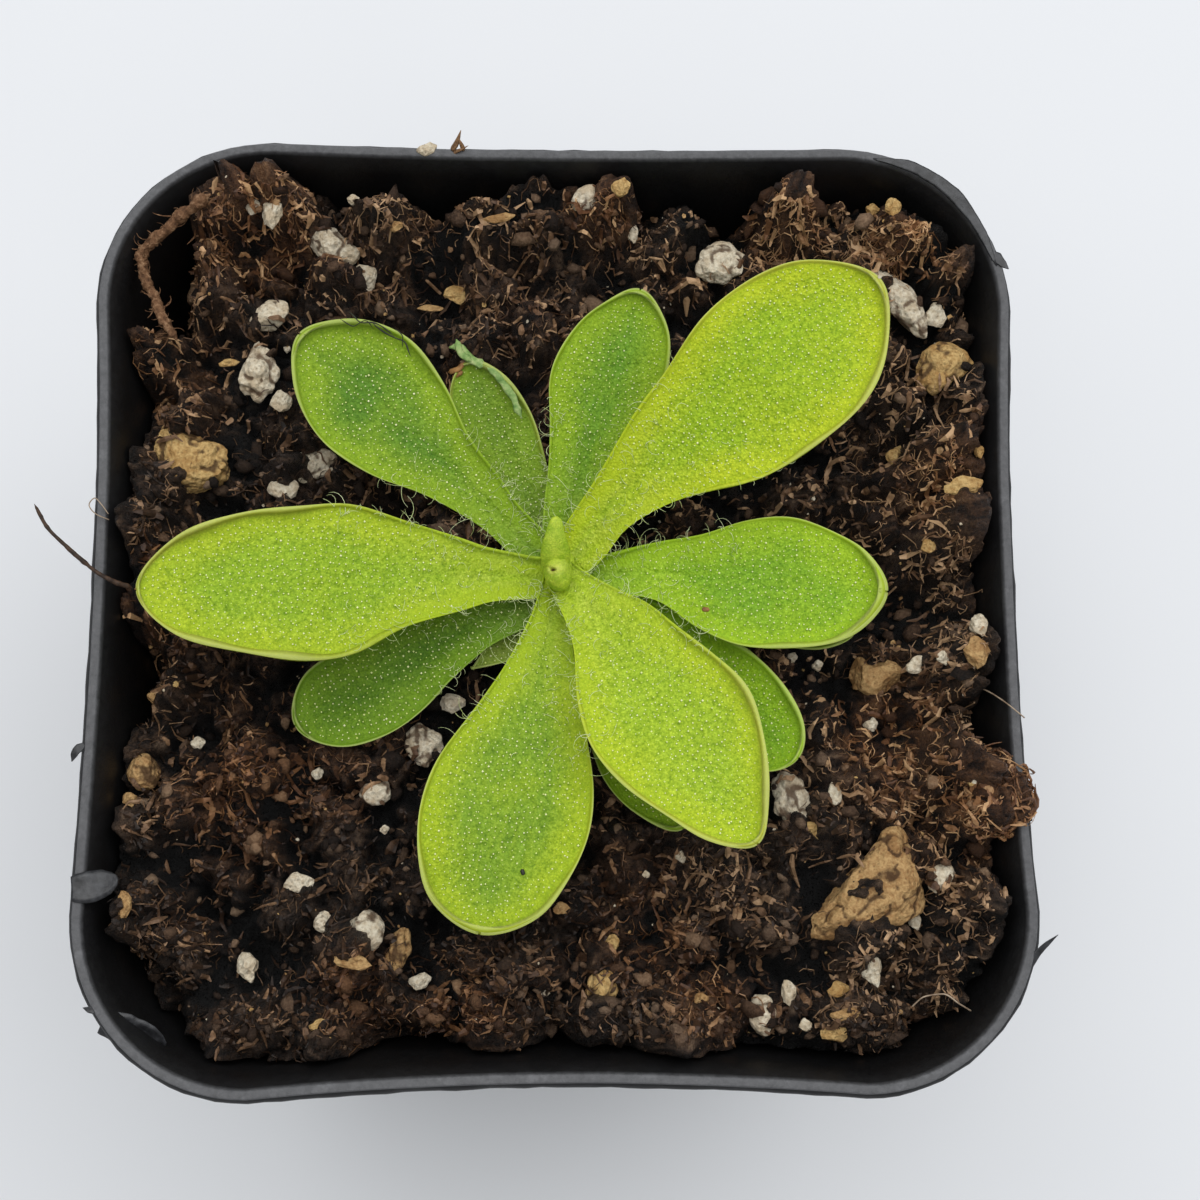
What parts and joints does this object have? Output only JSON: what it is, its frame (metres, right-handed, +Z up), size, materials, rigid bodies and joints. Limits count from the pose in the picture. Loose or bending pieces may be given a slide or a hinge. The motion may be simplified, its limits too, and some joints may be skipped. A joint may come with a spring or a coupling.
{
  "type": "potted butterwort",
  "caption": "Flat rosette of oval sticky leaves on a short crown, growing in clumpy peat with pale grains in a square tapered black pot.",
  "frame": {"origin": "middle of the pot's flat underside", "axes": "+Z up, +X to the right and +Y to the far side in the picture"},
  "size_m": [0.0797, 0.0778, 0.0786],
  "materials": {
    "pot": "thin black plastic with a soft sheen",
    "soil": "moist fibrous peat",
    "crown": "smooth young tissue",
    "leaf_bright": "soft yellow-green leaf with droplets",
    "leaf_mid": "soft green leaf with droplets",
    "leaf_dark": "soft dark green leaf with droplets",
    "leaf_old": "older greyish green leaf",
    "grain_pale": "porous pale perlite and pumice",
    "grain_gold": "rough golden grain",
    "grain_brown": "rough tan bark or clay grain",
    "root": "dry brown root"
  },
  "bodies": {
    "root": {"pot": "pot", "soil": "soil", "crown": "crown", "leaf_a": "leaf_bright", "leaf_b": "leaf_dark", "leaf_c": "leaf_old", "leaf_d": "leaf_dark", "leaf_e": "leaf_bright", "leaf_f": "leaf_dark", "leaf_g": "leaf_old", "leaf_h": "leaf_mid", "leaf_i": "leaf_bright", "leaf_j": "leaf_dark", "leaf_k": "leaf_dark", "leaf_l": "leaf_mid", "leaf_m": "leaf_dark", "grain_gold_left": "grain_gold", "grain_tan_big": "grain_brown", "grain_gold_right": "grain_gold", "perlite_left": "grain_pale", "perlite_far_left": "grain_pale", "perlite_upper_left": "grain_pale", "perlite_flat": "grain_pale", "perlite_far": "grain_pale", "perlite_under_k": "grain_pale", "perlite_behind_a": "grain_pale", "pumice_mid": "grain_pale", "grain_cream_far": "grain_pale", "grain_brown_left": "grain_brown", "perlite_near_left": "grain_pale", "bark_near_left": "grain_brown", "grain_cream_mid": "grain_pale", "grain_olive_near": "grain_gold", "pumice_near": "grain_pale", "grain_cream_right": "grain_pale", "root_bent": "root", "twig_left": "root"}
  },
  "joints": []
}
